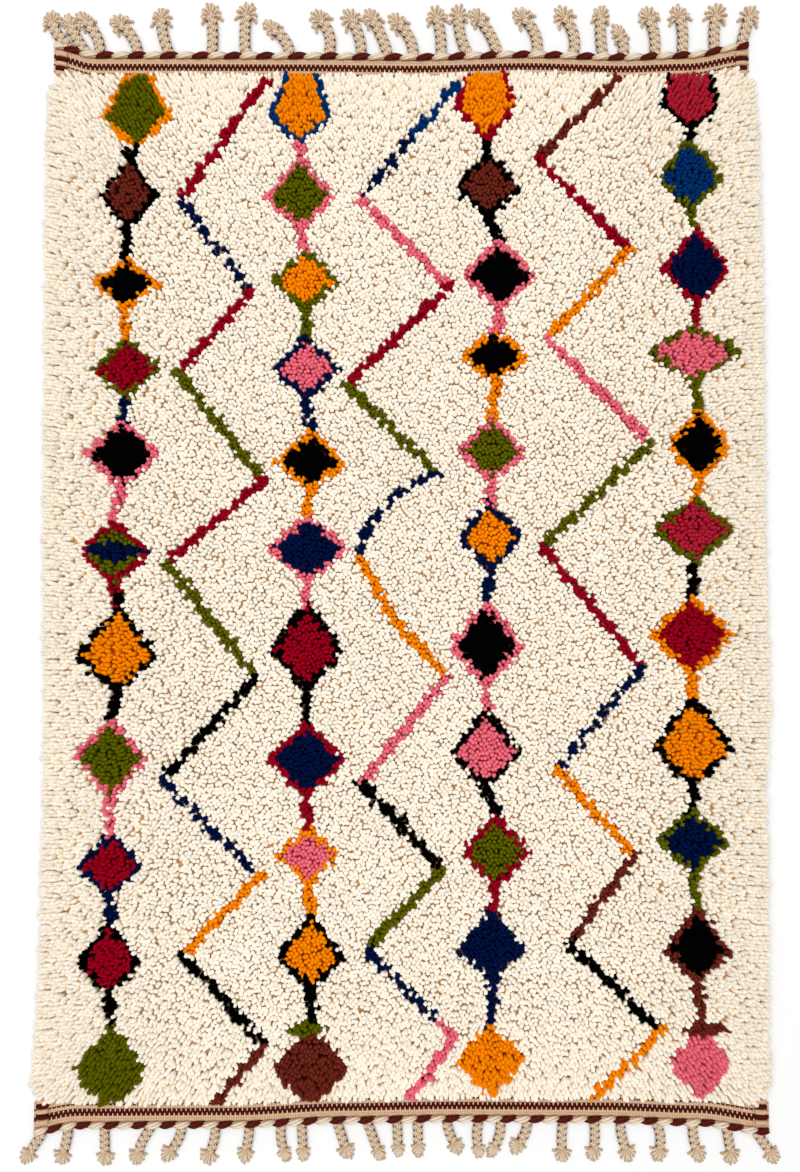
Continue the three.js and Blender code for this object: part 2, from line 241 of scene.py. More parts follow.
# Each braid as (root x, lean to the right, reach beyond the cord, bow to the right, width of head)
FAR_BRAIDS = (
    (-478, -36, 56, -4, 28), (-453, -33, 59, -2, 20), (-434, -28, 69, 6, 22), (-380, -33, 64, 6, 28),
    (-333, -18, 73, -3, 28), (-273, -2, 80, 2, 30), (-224, 1, 81, -2, 31), (-161, -33, 58, 6, 21),
    (-106, -13, 73, 8, 30), (-58, -18, 74, 4, 28), (-19, -29, 75, 2, 25), (17, -28, 69, 6, 25),
    (57, -7, 78, 2, 30), (96, -18, 78, -4, 25), (138, -34, 72, 4, 25), (194, -23, 74, 8, 28),
    (247, -15, 77, 7, 30), (290, -3, 79, -2, 25), (318, -4, 52, 3, 20), (364, -9, 77, 4, 29),
    (403, -2, 77, 3, 30), (451, 4, 73, -2, 31), (489, 18, 62, 0, 28),
)
NEAR_BRAIDS = (
    (-487, -27, 44, 0, 24), (-453, -9, 53, 1, 25), (-404, 2, 55, 0, 26), (-339, -27, 52, -2, 25),
    (-299, -19, 51, 3, 24), (-253, -10, 55, 2, 27), (-207, -6, 52, 1, 25), (-163, 3, 54, -2, 20),
    (-136, 3, 54, 0, 20), (-88, 17, 53, 0, 25), (-47, 20, 56, 0, 20), (-6, 2, 52, 0, 18),
    (22, 1, 52, 0, 20), (62, 14, 50, -2, 24), (106, -4, 54, -2, 18), (134, -9, 54, 3, 18),
    (171, -15, 49, 3, 25), (220, -3, 59, -1, 26), (262, 0, 57, 1, 24), (298, 9, 57, -2, 25),
    (346, 8, 55, 3, 25), (397, 5, 54, -2, 25), (442, 8, 52, 0, 26), (482, 28, 43, 0, 24),
)

# The dyed wools of the pile: colour of the cut tip, which holds a painted highlight, of the side, of the
# root, which holds painted shade, and sheen
DYES = {
    "ivory": ("F9F4EA", "F1DFC2", "DAA870", 0.12),
    "olive": ("5E6002", "4A4C02", "242400", 0.0),
    "orange": ("F48E02", "DE7402", "A64602", 0.0),
    "crimson": ("9C041E", "880218", "4C0008", 0.0),
    "madder": ("B42238", "9A1426", "5E040E", 0.0),
    "pink": ("EC7484", "D25466", "983044", 0.0),
    "navy": ("031542", "020D30", "01030E", 0.0),
    "blue": ("033572", "022656", "000E24", 0.0),
    "rust": ("702A1E", "5A1A10", "2C0806", 0.0),
    "black": ("030304", "020202", "010101", 0.0),
}

# Columns of lozenges from the far end to the near one. Each is (x, y, half width, height above its
# middle, height below it, dye, dye of its outline, dye of the link down to the next).
LOZENGE_COLUMNS = (
    (
        (-377, 653, 52, 92, 47, "olive", "orange", "black"),
        (-387, 537, 42, 57, 47, "rust", "black", "black"),
        (-389, 412, 48, 35, 42, "black", "orange", "orange"),
        (-386, 289, 50, 45, 42, "crimson", "olive", "navy"),
        (-391, 169, 53, 51, 48, "black", "pink", "pink"),
        (-401, 32, 51, 44, 48, "olive", "crimson", "crimson"),
        (-394, -112, 57, 70, 50, "orange", "black", "black"),
        (-401, -250, 51, 54, 57, "olive", "pink", "pink"),
        (-399, -396, 46, 44, 45, "crimson", "navy", "navy"),
        (-398, -528, 44, 58, 43, "crimson", "black", "black"),
        (-395, -670, 51, 62, 59, "olive", "olive", None),
    ),
    (
        (-144, 651, 45, 130, 39, "orange", "blue", "pink"),
        (-143, 535, 49, 57, 48, "olive", "pink", "pink"),
        (-134, 415, 48, 44, 45, "orange", "olive", "olive"),
        (-133, 290, 47, 46, 48, "pink", "navy", "navy"),
        (-127, 157, 49, 48, 39, "black", "orange", "orange"),
        (-130, 36, 57, 49, 46, "navy", "pink", "pink"),
        (-130, -102, 51, 63, 59, "crimson", "black", "black"),
        (-131, -252, 55, 48, 53, "navy", "crimson", "crimson"),
        (-127, -382, 44, 39, 40, "pink", "orange", "orange"),
        (-123, -520, 46, 61, 42, "orange", "black", "black"),
        (-122, -670, 52, 59, 52, "rust", "rust", None),
    ),
    (
        (120, 667, 43, 150, 52, "orange", "crimson", "black"),
        (122, 548, 47, 53, 43, "rust", "black", "black"),
        (138, 421, 51, 55, 49, "black", "pink", "pink"),
        (131, 305, 50, 41, 34, "black", "orange", "orange"),
        (126, 174, 48, 46, 46, "olive", "pink", "pink"),
        (123, 53, 45, 48, 50, "orange", "navy", "navy"),
        (117, -99, 50, 64, 54, "black", "pink", "pink"),
        (116, -243, 48, 60, 51, "pink", "black", "black"),
        (129, -378, 46, 51, 48, "olive", "crimson", "crimson"),
        (123, -509, 46, 53, 39, "navy", "navy", "navy"),
        (120, -657, 46, 49, 52, "orange", "orange", None),
    ),
    (
        (412, 670, 43, 200, 38, "madder", "black", "black"),
        (410, 563, 49, 58, 50, "blue", "olive", "olive"),
        (417, 432, 51, 60, 53, "navy", "crimson", "crimson"),
        (411, 313, 70, 40, 44, "pink", "olive", "olive"),
        (417, 180, 46, 54, 49, "black", "orange", "orange"),
        (408, 65, 60, 44, 50, "madder", "olive", "black"),
        (402, -82, 58, 54, 61, "crimson", "orange", "orange"),
        (402, -237, 57, 71, 53, "orange", "black", "black"),
        (400, -362, 50, 43, 49, "navy", "olive", "olive"),
        (404, -513, 47, 63, 40, "black", "rust", "rust"),
        (406, -661, 45, 48, 50, "pink", "pink", None),
    ),
)
# Patches worked over the lozenges, as (x, y, half width, half height, dye)
PATCHES = (
    (-399, 34, 46, 15, "navy"),
    (-393, -34, 10, 16, "black"),
    (-128, -615, 30, 11, "olive"),
    (409, -616, 34, 11, "rust"),
)
# Zigzags as corners (x, y, dye of the leg that follows), and how much the legs in some dyes are broken
BROKEN = {"navy": 0.34, "blue": 0.26, "black": 0.18}
ZIGZAGS = (
    (
        (-192, 709, "crimson"), (-312, 530, "navy"), (-211, 399, "crimson"), (-313, 284, "olive"),
        (-191, 132, "crimson"), (-326, 17, "olive"), (-200, -140, "black"), (-328, -281, "navy"),
        (-192, -410, "orange"), (-297, -516, "black"), (-183, -637, "rust"), (-251, -715, None),
    ),
    (
        (84, 709, "blue"), (8, 614, "navy"), (-58, 531, "pink"), (68, 406, "crimson"),
        (-77, 267, "olive"), (49, 142, "navy"), (-8, 112, "navy"), (-46, 66, "navy"),
        (-60, 24, "orange"), (-2, -73, "orange"), (63, -138, "pink"), (-55, -285, "black"),
        (56, -401, "olive"), (-48, -508, "navy"), (53, -608, "pink"), (72, -625, "pink"),
        (11, -710, None),
    ),
    (
        (309, 712, "rust"), (191, 590, "crimson"), (321, 458, "orange"), (204, 331, "pink"),
        (347, 185, "olive"), (194, 40, "crimson"), (332, -127, "navy"), (213, -266, "orange"),
        (318, -382, "rust"), (228, -500, "black"), (349, -617, "orange"), (257, -712, None),
    ),
)


def linear(hex_colour):
    """A linear RGBA colour from an sRGB hex value."""
    channels = [int(hex_colour[i:i + 2], 16) / 255 for i in (0, 2, 4)]
    return [c / 12.92 if c <= 0.04045 else ((c + 0.055) / 1.055) ** 2.4 for c in channels] + [1.0]


def add_node(tree, kind, inputs=None, stops=(), **settings):
    """A node with its settings, its ramp's stops, and its inputs, each a value or a socket to link."""
    made = tree.nodes.new(kind)
    for name, value in settings.items():
        setattr(made, name, value)
    for name, value in (inputs or {}).items():
        if isinstance(value, bpy.types.NodeSocket):
            tree.links.new(value, made.inputs[name])
        else:
            made.inputs[name].default_value = value
    for i, (position, hex_colour) in enumerate(stops):
        ramp = made.color_ramp.elements
        stop = ramp[i] if i < 2 else ramp.new(position)
        stop.position = position
        stop.color = linear(hex_colour)
    return made


def new_material(name):
    """A material with its node tree and its shader."""
    material = bpy.data.materials.new(name)
    material.use_nodes = True
    return material, material.node_tree, material.node_tree.nodes["Principled BSDF"]


def cut_pile_wool(dye):
    """Hand-spun wool, cut at the tip: matt, with a painted highlight on the cut end and painted shade deep
    down between tufts.
    """
    tip, side, root, sheen = DYES[dye]
    material, tree, shader = new_material(f"cut_pile_wool_{dye}")
    along = add_node(tree, "ShaderNodeAttribute", attribute_name="along")
    tone = add_node(tree, "ShaderNodeAttribute", attribute_name="tone")
    # Along each tuft: painted shade at the root, a painted highlight at the cut tip.
    stops = ((0.25, root), (1.0, tip), (0.68, side))
    depth = add_node(tree, "ShaderNodeValToRGB", {"Fac": along.outputs["Fac"]}, stops)
    toned = add_node(
        tree, "ShaderNodeHueSaturation", {"Color": depth.outputs["Color"], "Value": tone.outputs["Fac"]}
    )
    place = add_node(tree, "ShaderNodeTexCoord")
    fibre_mm = 1.2
    fibres = add_node(
        tree,
        "ShaderNodeTexNoise",
        {"Vector": place.outputs["Object"], "Scale": 1000 / fibre_mm, "Detail": 2.0},
    )
    relief = add_node(
        tree, "ShaderNodeBump", {"Height": fibres.outputs["Fac"], "Strength": 0.35, "Distance": 0.4 * MM}
    )
    tree.links.new(toned.outputs["Color"], shader.inputs["Base Color"])
    tree.links.new(relief.outputs["Normal"], shader.inputs["Normal"])
    shader.inputs["Roughness"].default_value = 0.92
    shader.inputs["Specular IOR Level"].default_value = 2 * sheen
    shader.inputs["Sheen Weight"].default_value = sheen
    shader.inputs["Sheen Roughness"].default_value = 0.5
    return material


def packed_wool():
    """The pile deep between the tufts: each dye's root colour, which holds painted shade, rough and without
    gloss.
    """
    material, tree, shader = new_material("packed_pile_wool")
    # The dye attribute holds each dye's root colour, with its painted shade.
    dye = add_node(tree, "ShaderNodeAttribute", attribute_name="dye")
    place = add_node(tree, "ShaderNodeTexCoord")
    tuft_mm = 4.0
    lumps = add_node(
        tree,
        "ShaderNodeTexNoise",
        {"Vector": place.outputs["Object"], "Scale": 1000 / tuft_mm, "Detail": 2.0},
    )
    relief = add_node(
        tree, "ShaderNodeBump", {"Height": lumps.outputs["Fac"], "Strength": 0.8, "Distance": 2 * MM}
    )
    tree.links.new(dye.outputs["Color"], shader.inputs["Base Color"])
    tree.links.new(relief.outputs["Normal"], shader.inputs["Normal"])
    shader.inputs["Roughness"].default_value = 0.95
    shader.inputs["Specular IOR Level"].default_value = 0.1
    return material


def plied_wool(name, painted_groove_shade, body, painted_highlight, fibre_mm):
    """Plied wool yarn: matt and uneven, with a painted highlight on its highest turns and painted shade deep
    in its grooves.
    """
    material, tree, shader = new_material(name)
    # The tone paints shade in the grooves and a highlight on the highest turns.
    depth = add_node(tree, "ShaderNodeAttribute", attribute_name="depth")
    stops = ((0.0, painted_groove_shade), (1.0, painted_highlight), (0.5, body))
    colour = add_node(tree, "ShaderNodeValToRGB", {"Fac": depth.outputs["Fac"]}, stops)
    place = add_node(tree, "ShaderNodeTexCoord")
    fibres = add_node(
        tree,
        "ShaderNodeTexNoise",
        {"Vector": place.outputs["Object"], "Scale": 1000 / fibre_mm, "Detail": 3.0, "Roughness": 0.6},
    )
    uneven = add_node(
        tree,
        "ShaderNodeMapRange",
        {"Value": fibres.outputs["Fac"], "From Min": 0.3, "From Max": 0.7, "To Min": 0.84, "To Max": 1.08},
    )
    toned = add_node(
        tree,
        "ShaderNodeHueSaturation",
        {"Color": colour.outputs["Color"], "Value": uneven.outputs["Result"]},
    )
    relief = add_node(
        tree, "ShaderNodeBump", {"Height": fibres.outputs["Fac"], "Strength": 0.5, "Distance": 0.5 * MM}
    )
    tree.links.new(toned.outputs["Color"], shader.inputs["Base Color"])
    tree.links.new(relief.outputs["Normal"], shader.inputs["Normal"])
    shader.inputs["Roughness"].default_value = 0.88
    shader.inputs["Specular IOR Level"].default_value = 0.08
    shader.inputs["Sheen Weight"].default_value = 0.02
    return material


def floor_paper():
    """Seamless paper: white, matt and even."""
    material, tree, shader = new_material("seamless_paper")
    place = add_node(tree, "ShaderNodeTexCoord")
    grain = add_node(tree, "ShaderNodeTexNoise", {"Vector": place.outputs["Object"], "Scale": 400.0})
    relief = add_node(
        tree, "ShaderNodeBump", {"Height": grain.outputs["Fac"], "Strength": 0.02, "Distance": 0.1 * MM}
    )
    tree.links.new(relief.outputs["Normal"], shader.inputs["Normal"])
    shader.inputs["Base Color"].default_value = linear("F0F0F0")
    shader.inputs["Roughness"].default_value = 0.95
    return material


def add_piece(name, mesh, materials, replaced=None):
    """A piece at the origin that rides on the rug's one body."""
    piece = bpy.data.objects.new(name, mesh)
    bpy.context.scene.collection.objects.link(piece)
    for material in materials:
        mesh.materials.append(material)
    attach(piece, BODY)
    if replaced:
        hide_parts(replaced)
    return piece


def eased(table, at):
    """A table's second column at places along its first, eased between the rows."""
    places, values = (np.array(column) * MM for column in zip(*table))
    row = np.clip(np.searchsorted(places, at) - 1, 0, len(places) - 2)
    share = np.clip((at - places[row]) / (places[row + 1] - places[row]), 0, 1)
    return values[row] + (values[row + 1] - values[row]) * share * share * (3 - 2 * share)


def pile_ends(x):
    """The near and far edges of the ground that the pile is knotted to, at each x."""
    to_cord = CORD_WIDTH / 2 + BAND_DEPTH
    return eased(NEAR_LINE, x) + to_cord, eased(FAR_LINE, x) - to_cord


def pile_place(across, along):
    """Points of the pile's ground for shares of its width and length, with the bow of its sides."""
    half_width = RUG_WIDTH / 2 - GROUND_INSET
    x = (2 * across - 1) * half_width
    near, far = pile_ends(x)
    y = near + (far - near) * along
    bow = np.where(x < 0, eased(LEFT_BOW, y), eased(RIGHT_BOW, y))
    return x * (1 + bow / half_width), y


def inside_rims(x, y):
    """How far each point lies inside the nearer long side, the near end and the far end."""
    near, far = pile_ends(x)
    bow = np.where(x < 0, eased(LEFT_BOW, y), eased(RIGHT_BOW, y))
    return RUG_WIDTH / 2 - GROUND_INSET + bow - np.abs(x), y - near, far - y


def swell(x, y):
    """A slow swell between -1 and 1, of long and short waves that cross, so that no two lumps are alike."""
    k = 2 * math.pi / LUMP_LENGTH
    long = np.sin(k * (x + 0.6 * y)) * np.cos(k * (0.8 * y - 0.3 * x) + 1)
    short = np.sin(2.3 * k * x + 2) * np.sin(2.1 * k * y + 0.7 * np.sin(k * x))
    return 0.55 * long + 0.45 * short


def off_leg(x, y, start, end):
    """How far each point lies from the straight leg between two corners."""
    (x0, y0), (x1, y1) = start, end
    run_x, run_y = x1 - x0, y1 - y0
    share = ((x - x0) * run_x + (y - y0) * run_y) / (run_x ** 2 + run_y ** 2)
    share = np.clip(share, 0, 1)
    return np.hypot(x - x0 - share * run_x, y - y0 - share * run_y)


def inside_lozenge(x, y, lozenge):
    """How far each point lies inside a lozenge's edge, negative outside it. Its sides swell a little."""
    middle_x, middle_y, width, above, below = (size * MM for size in lozenge)
    height = np.where(y > middle_y, above, below)
    across = (np.abs(x - middle_x) / width) ** LOZENGE_FULLNESS
    along = (np.abs(y - middle_y) / height) ** LOZENGE_FULLNESS
    return (1 - (across + along) ** (1 / LOZENGE_FULLNESS)) * width * height / np.hypot(width, height)


def dyes_at(x, y):
    """The dye of the tuft at each point, as a place in the table of dyes."""
    order = list(DYES)
    dyes = np.full(len(x), order.index("ivory"))
    stray = rng.uniform(-1, 1, len(x))
    ragged = swell(RAGGED_FINENESS[0] * x, RAGGED_FINENESS[1] * y)
    breaks = swell(BREAK_FINENESS[1] * y, BREAK_FINENESS[0] * x + BREAK_SHIFT)
    wobble = stray * PATTERN_WOBBLE + ragged * RAGGED_EDGE
    for corners in ZIGZAGS:
        for (x0, y0, dye), (x1, y1, _) in zip(corners, corners[1:]):
            off = off_leg(x, y, (x0 * MM, y0 * MM), (x1 * MM, y1 * MM))
            worked = off + stray * ZIGZAG_WOBBLE + ZIGZAG_RAGGED * ragged * RAGGED_EDGE < ZIGZAG_WIDTH / 2
            broken = breaks > 1 - 2 * BROKEN.get(dye, 0)
            dyes[worked & ~broken] = order.index(dye)
    for column in LOZENGE_COLUMNS:
        for upper, lower in zip(column, column[1:]):
            x0, y0, _, _, below, _, _, link_dye = upper
            x1, y1, _, above, *_ = lower
            start = (x0 * MM, (y0 - below) * MM)
            end = (x1 * MM, (y1 + above) * MM)
            dyes[off_leg(x, y, start, end) + wobble < LINK_WIDTH / 2] = order.index(link_dye)
        for *lozenge, dye, outline_dye, _ in column:
            inside = inside_lozenge(x, y, lozenge) + wobble
            dyes[inside > 0] = order.index(outline_dye)
            dyes[inside > OUTLINE_WIDTH] = order.index(dye)
    for middle_x, middle_y, width, height, dye in PATCHES:
        inside = inside_lozenge(x, y, (middle_x, middle_y, width, height, height)) + wobble
        dyes[inside > 0] = order.index(dye)
    return dyes


def tuft_shape():
    """One cut yarn end of unit size, from its pointed root to its blunt tip: (points, triangles)."""
    rings = []
    for (radius, along), twist in ((TUFT_BELLY, 0.0), (TUFT_SHOULDER, math.pi / 4)):
        turn = math.pi / 2 * np.arange(4) + twist
        rings.append(np.column_stack([radius * np.cos(turn), radius * np.sin(turn), np.full(4, along)]))
    points = np.vstack([*rings, [[0, 0, 0], [0, 0, 1]]])
    first = np.arange(4)
    after = (first + 1) % 4
    root, tip = np.full(4, 8), np.full(4, 9)
    sides = (
        (after, first, root),
        (first, after, first + 4),
        (after, after + 4, first + 4),
        (first + 4, after + 4, tip),
    )
    return points, np.vstack([np.column_stack(corners) for corners in sides])


def knot_places():
    """Where the knots are tied, in rows that follow the ends of the rug."""
    width = RUG_WIDTH - 2 * GROUND_INSET
    near, far = pile_ends(np.zeros(1))
    length = float((far - near)[0])
    columns = round((width - 2 * SIDE_KNOT_INSET) / KNOT_PITCH)
    rows = round((length - FAR_KNOT_INSET - NEAR_KNOT_INSET) / KNOT_ROW)
    row, column = (grid.ravel() for grid in np.mgrid[0:rows, 0:columns])
    # Every other row is set off by half a knot.
    across = column + 0.25 + 0.5 * (row % 2) + rng.uniform(-1, 1, row.size) * KNOT_JITTER
    along = row + 0.5 + rng.uniform(-1, 1, row.size) * KNOT_JITTER
    x, y = pile_place(
        (SIDE_KNOT_INSET + across / columns * (width - 2 * SIDE_KNOT_INSET)) / width,
        (NEAR_KNOT_INSET + along / rows * (length - FAR_KNOT_INSET - NEAR_KNOT_INSET)) / length,
    )
    side, near, far = inside_rims(x, y)
    kept = side + np.minimum(near, far) > CORNER_CUT
    return x[kept], y[kept]


def leans_at(x, y):
    """How far the tips lie out from the knots for each unit of rise: outwards at the rim, in locks."""
    side, near, far = inside_rims(x, y)
    side_rim, near_rim, far_rim = (np.exp(-inside / RIM_LEAN_WIDTH) for inside in (side, near, far))
    uneven = 1 + LOCK_UNEVEN * swell(LOCK_FINENESS[0] * x, LOCK_FINENESS[1] * y)
    uneven += rng.normal(0, LOCK_STRAY, x.size)
    drift = LOCK_DRIFT * swell(x, y)
    side_lock = 2 * math.pi * y / LOCK_PITCH + drift
    end_lock = 2 * math.pi * x / LOCK_PITCH + drift
    side_reach = uneven + LOCK_REACH * np.cos(side_lock)
    end_reach = uneven + LOCK_REACH * np.cos(end_lock)
    lean_x = SIDE_LEAN * np.clip(1 - side / SIDE_LEAN_WIDTH, 0, 1) + RIM_LEAN * side_reach * side_rim
    far_lean = END_LEAN * np.clip(1 - far / END_LEAN_WIDTH, 0, 1) + FAR_RIM_LEAN * end_reach * far_rim
    near_lean = END_LEAN * np.clip(1 - near / END_LEAN_WIDTH, 0, 1) + NEAR_RIM_LEAN * end_reach * near_rim
    drawn_x = LOCK_DRAW * np.sin(end_lock) * (far_rim + near_rim)
    drawn_y = LOCK_DRAW * np.sin(side_lock) * side_rim
    return np.column_stack([np.sign(x) * lean_x - drawn_x, far_lean - near_lean - drawn_y])


def swirls_at(x, y):
    """How far the tufts lie over in the eddies of the pile, calmer where they all lean outwards."""
    side, near, far = inside_rims(x, y)
    scale = LUMP_LENGTH / EDDY_LENGTH
    step = 1 * MM
    run_x = swell(scale * x, scale * (y + step)) - swell(scale * x, scale * (y - step))
    run_y = swell(scale * (x - step), scale * y) - swell(scale * (x + step), scale * y)
    swirl = np.column_stack([run_x, run_y])
    swirl *= SWIRL_LEAN / np.sqrt(np.mean(run_x ** 2 + run_y ** 2))
    swirl += rng.normal(0, SWIRL_STRAY, swirl.shape)
    calm = 1 - SIDE_CALM * np.clip(1 - side / SIDE_LEAN_WIDTH, 0, 1)
    calm *= 1 - END_CALM * np.clip(1 - np.minimum(near, far) / END_LEAN_WIDTH, 0, 1)
    calm *= np.clip(np.minimum(side, np.minimum(near, far)) / RIM_CALM_WIDTH, RIM_CALM_LEAST, 1)
    return swirl * calm[:, None]


def pile_pieces():
    """All the tufts, as joined meshes of one dye each, with how far along its tuft each point lies."""
    shape, triangles = tuft_shape()
    x, y = knot_places()
    count = x.size
    swirl = swirls_at(x, y)
    way = np.column_stack([leans_at(x, y) + swirl, np.ones(count)])
    way /= np.linalg.norm(way, axis=1, keepdims=True)
    side = np.cross([0.0, 1.0, 0.0], way)
    side /= np.linalg.norm(side, axis=1, keepdims=True)
    front = np.cross(way, side)
    length = TUFT_LENGTH * rng.uniform(1 - TUFT_LENGTH_UNEVEN, 1 + TUFT_LENGTH_UNEVEN, count)
    length += LUMP_HEIGHT * swell(x, y)
    radius = TUFT_RADIUS * rng.uniform(1 - TUFT_RADIUS_UNEVEN, 1 + TUFT_RADIUS_UNEVEN, count)
    spin = rng.uniform(0, 2 * math.pi, count)
    # Its neighbours hold a tip in its place, so in an eddy it is the root that lies off the knot's row.
    foot = np.column_stack([x, y]) - swirl * (length * way[:, 2])[:, None]
    root = np.column_stack([foot, np.full(count, TUFT_ROOT_Z)])
    tip = root + way * length[:, None]
    dyes = dyes_at(tip[:, 0], tip[:, 1])
    tone = 1 + rng.normal(0, TONE_STRAY, count) + TONE_SWELL * swell(TONE_FINENESS * x, TONE_FINENESS * y)
    tone -= SIDE_SHADE * np.clip(1 - inside_rims(x, y)[0] / SIDE_LEAN_WIDTH, 0, 1)

    across = radius[:, None] * (np.cos(spin)[:, None] * shape[:, 0] - np.sin(spin)[:, None] * shape[:, 1])
    deep = radius[:, None] * (np.sin(spin)[:, None] * shape[:, 0] + np.cos(spin)[:, None] * shape[:, 1])
    points = (
        root[:, None, :]
        + way[:, None, :] * (length[:, None] * shape[:, 2])[..., None]
        + side[:, None, :] * across[..., None]
        + front[:, None, :] * deep[..., None]
    )
    pieces = []
    for place, dye in enumerate(DYES):
        chosen = np.flatnonzero(dyes == place)
        material = cut_pile_wool(dye)
        for part, tufts in enumerate(np.array_split(chosen, math.ceil(len(chosen) / TUFTS_PER_PIECE))):
            mesh = joined_tufts(f"pile_{dye}_{part + 1}", points[tufts], triangles)
            set_point_values(mesh, "along", np.tile(shape[:, 2], len(tufts)))
            set_point_values(mesh, "tone", np.repeat(tone[tufts], len(shape)))
            pieces.append(add_piece(mesh.name, mesh, [material]))
    return pieces


def joined_tufts(name, points, triangles):
    """One mesh of many tufts from their points, (tuft, point, place), and one tuft's triangles."""
    tufts, size = points.shape[:2]
    corners = (triangles[None] + (np.arange(tufts) * size)[:, None, None]).ravel()
    mesh = bpy.data.meshes.new(name)
    mesh.vertices.add(tufts * size)
    mesh.vertices.foreach_set("co", points.ravel())
    mesh.loops.add(corners.size)
    mesh.loops.foreach_set("vertex_index", corners.astype(np.int32))
    mesh.polygons.add(corners.size // 3)
    mesh.polygons.foreach_set("loop_start", np.arange(0, corners.size, 3, dtype=np.int32))
    mesh.polygons.foreach_set("use_smooth", np.ones(corners.size // 3, dtype=bool))
    mesh.update(calc_edges=True)
    return mesh


def set_point_values(mesh, name, values):
    """Keeps one number at each point of a mesh, for its material to read."""
    mesh.attributes.new(name, "FLOAT", "POINT").data.foreach_set("value", values.astype(np.float32))


def mesh_of(shape, name, smooth=True):
    """A finished mesh of a bmesh."""
    for face in shape.faces:
        face.smooth = smooth
    mesh = bpy.data.meshes.new(name)
    shape.to_mesh(mesh)
    shape.free()
    return mesh


def thicken_down(shape):
    """Closes a laid sheet with a flat underside on the floor."""
    made = bmesh.ops.extrude_face_region(shape, geom=shape.faces[:], use_keep_orig=True)
    for item in made["geom"]:
        if isinstance(item, bmesh.types.BMVert):
            item.co.z = 0.0
    bmesh.ops.recalc_face_normals(shape, faces=shape.faces[:])


def join_underside(shape):
    """Makes one face of all that lies on the floor."""
    beneath = [face for face in shape.faces if face.normal.z < -LEVEL_NORMAL]
    bmesh.ops.dissolve_faces(shape, faces=beneath)


def packed_pile():
    """The woven ground with the pile packed on it, in the root colours of the tufts that stand in it, which
    hold painted shade; plain beneath.
    """
    near, far = pile_ends(np.zeros(1))
    columns = round((RUG_WIDTH - 2 * GROUND_INSET) / PACKED_CELL)
    rows = round(float((far - near)[0]) / PACKED_CELL)
    shape = bmesh.new()
    bmesh.ops.create_grid(shape, x_segments=columns, y_segments=rows, size=0.5)
    shares = np.array([v.co for v in shape.verts]) + 0.5
    x, y = pile_place(shares[:, 0], shares[:, 1])
    side, near, far = inside_rims(x, y)
    rise = np.clip(np.minimum(side, np.minimum(near, far)) / PACKED_RISE_WIDTH, 0, 1)
    z = GROUND_THICKNESS + (PACKED_HEIGHT - GROUND_THICKNESS) * rise * (2 - rise)
    for v, point in zip(shape.verts, np.column_stack([x, y, z])):
        v.co = point
    # Each dye's root colour, which holds painted shade, colours the packed pile.
    painted_root_shades = np.array([linear(root) for _, _, root, _ in DYES.values()])
    colours = painted_root_shades[dyes_at(x, y)]
    colours[rise < BARE_RISE] = linear(BARE_GROUND)
    thicken_down(shape)
    join_underside(shape)
    bmesh.ops.recalc_face_normals(shape, faces=shape.faces[:])
    for face in shape.faces:
        face.material_index = 0 if face.normal.z > UPPER_NORMAL else 1
    mesh = mesh_of(shape, "packed_pile")
    dyed = np.tile(linear(HIDDEN_GROUND), (len(mesh.vertices), 1))
    dyed[:len(colours)] = colours
    dye = mesh.attributes.new("dye", "FLOAT_COLOR", "POINT")
    dye.data.foreach_set("color", dyed.astype(np.float32).ravel())
    set_point_values(mesh, "depth", np.ones(len(mesh.vertices)))
    back = plied_wool("weft_wool_back", "8E6A42", "BE9C6E", "DCC09A", KNOT_ROW / MM)
    return add_piece("packed_pile", mesh, [packed_wool(), back], "pile_field")


def woven_band(end, line, outward, sand, brown):
    """An end band of weft beads over its warps, with its two colours of weft."""
    columns = round(RUG_WIDTH / WARP_PITCH)
    rows = len(BAND_ROWS)
    edges = np.cumsum([0] + [height for _, height in BAND_ROWS]) * MM
    shape = bmesh.new()
    bmesh.ops.create_grid(shape, x_segments=columns, y_segments=rows, size=0.5)
    gaps = {}
    for face in shape.faces:
        middle = face.calc_center_median()
        column = int((middle.x + 0.5) * columns)
        weft = BAND_ROWS[int((middle.y + 0.5) * rows)][0]
        brown_here = {"sand": False, "brown": True, "left": column % 2 == 0, "right": column % 2 == 1}
        face.material_index = int(brown_here[weft])
        if weft in ("left", "right") and not brown_here[weft]:
            gaps[face] = weft
    shares = np.array([v.co for v in shape.verts]) + 0.5
    x = (shares[:, 0] - 0.5) * RUG_WIDTH
    inwards = CORD_WIDTH / 2 - BAND_TUCK + np.interp(shares[:, 1] * rows, np.arange(rows + 1), edges)
    y = eased(line, x) - outward * inwards
    for v, place in zip(shape.verts, zip(x, y)):
        v.co = (*place, BAND_THICKNESS - BEAD_RISE)
    thicken_down(shape)
    beads = [face for face in shape.faces if face.normal.z > LEVEL_NORMAL]
    in_stripe = [face for face in beads if face in gaps]
    beads = [face for face in beads if face not in gaps]
    bmesh.ops.inset_individual(shape, faces=beads, thickness=BEAD_INSET, depth=BEAD_RISE)
    rims = bmesh.ops.inset_individual(shape, faces=in_stripe, thickness=STRIPE_GAP_INSET, depth=BEAD_RISE)
    for face in rims["faces"]:
        face.material_index = 1
    for face in in_stripe:
        middle = face.calc_center_median()
        to_stripe = -outward if gaps[face] == "left" else outward
        for v in face.verts:
            if (v.co.y - middle.y) * to_stripe > 0:
                v.co.x += (middle.x - v.co.x) * TOOTH_POINT
    join_underside(shape)
    mesh = mesh_of(shape, f"woven_band_{end}")
    # Painted shade between the beads, deepest at their foot, and painted light on their tops.
    heights = np.array([v.co.z for v in mesh.vertices])
    set_point_values(mesh, "depth", np.clip(1 - (BAND_THICKNESS - heights) / BEAD_RISE, 0, 1))
    return add_piece(mesh.name, mesh, [sand, brown], f"end_band_{end}")


